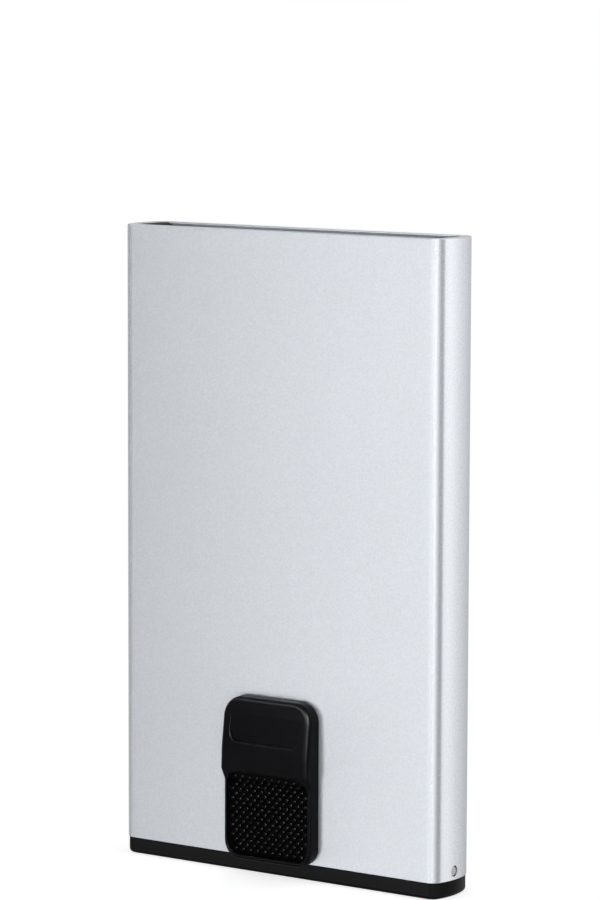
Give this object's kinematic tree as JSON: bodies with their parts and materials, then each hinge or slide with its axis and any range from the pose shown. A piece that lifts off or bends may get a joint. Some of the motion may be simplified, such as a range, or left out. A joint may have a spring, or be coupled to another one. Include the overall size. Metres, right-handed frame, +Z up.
{
  "type": "card holder",
  "caption": "Slim upright aluminium card holder: an extruded sleeve with an open mouth, a black base cap and a sprung thumb slide that lifts the cards in a cascade.",
  "frame": {"origin": "middle of the base cap's underside, on the sleeve's centre line", "axes": "+Z up the sleeve to the mouth, -Y out of the face that carries the thumb slide, +X along the width to the right-hand narrow side"},
  "size_m": [0.0632, 0.0143, 0.1054],
  "materials": {
    "anodised_aluminium": "fine bead-blasted and clear anodised satin",
    "black_moulding": "satin black moulding",
    "grip_rubber": "studded matt black",
    "inner_polymer": "matt dark grey moulding",
    "spring_steel": "plain bright steel"
  },
  "bodies": {
    "case": {"case_sleeve": "anodised_aluminium", "base_cap": "black_moulding", "base_pin_left": "spring_steel", "base_pin_right": "spring_steel", "guide_rod_left": "spring_steel", "guide_rod_right": "spring_steel", "return_spring_left": "spring_steel", "return_spring_right": "spring_steel", "side_rail_left": "inner_polymer", "side_rail_right": "inner_polymer", "card_leaf_left": "spring_steel", "card_leaf_right": "spring_steel"},
    "slide": {"slider_button": "black_moulding", "slider_back_plate": "black_moulding", "grip_pad": "grip_rubber", "ejector_carriage": "inner_polymer", "carriage_screw_left": "spring_steel", "carriage_screw_right": "spring_steel"}
  },
  "joints": [
    {"name": "slide_lift", "type": "slide", "parent": "case", "child": "slide", "axis": [0, 0, 1], "range_m": [0, 0.02], "stiffness_N_per_m": 240, "springref_m": -0.005, "deforming": ["return_spring_left", "return_spring_right"]}
  ]
}
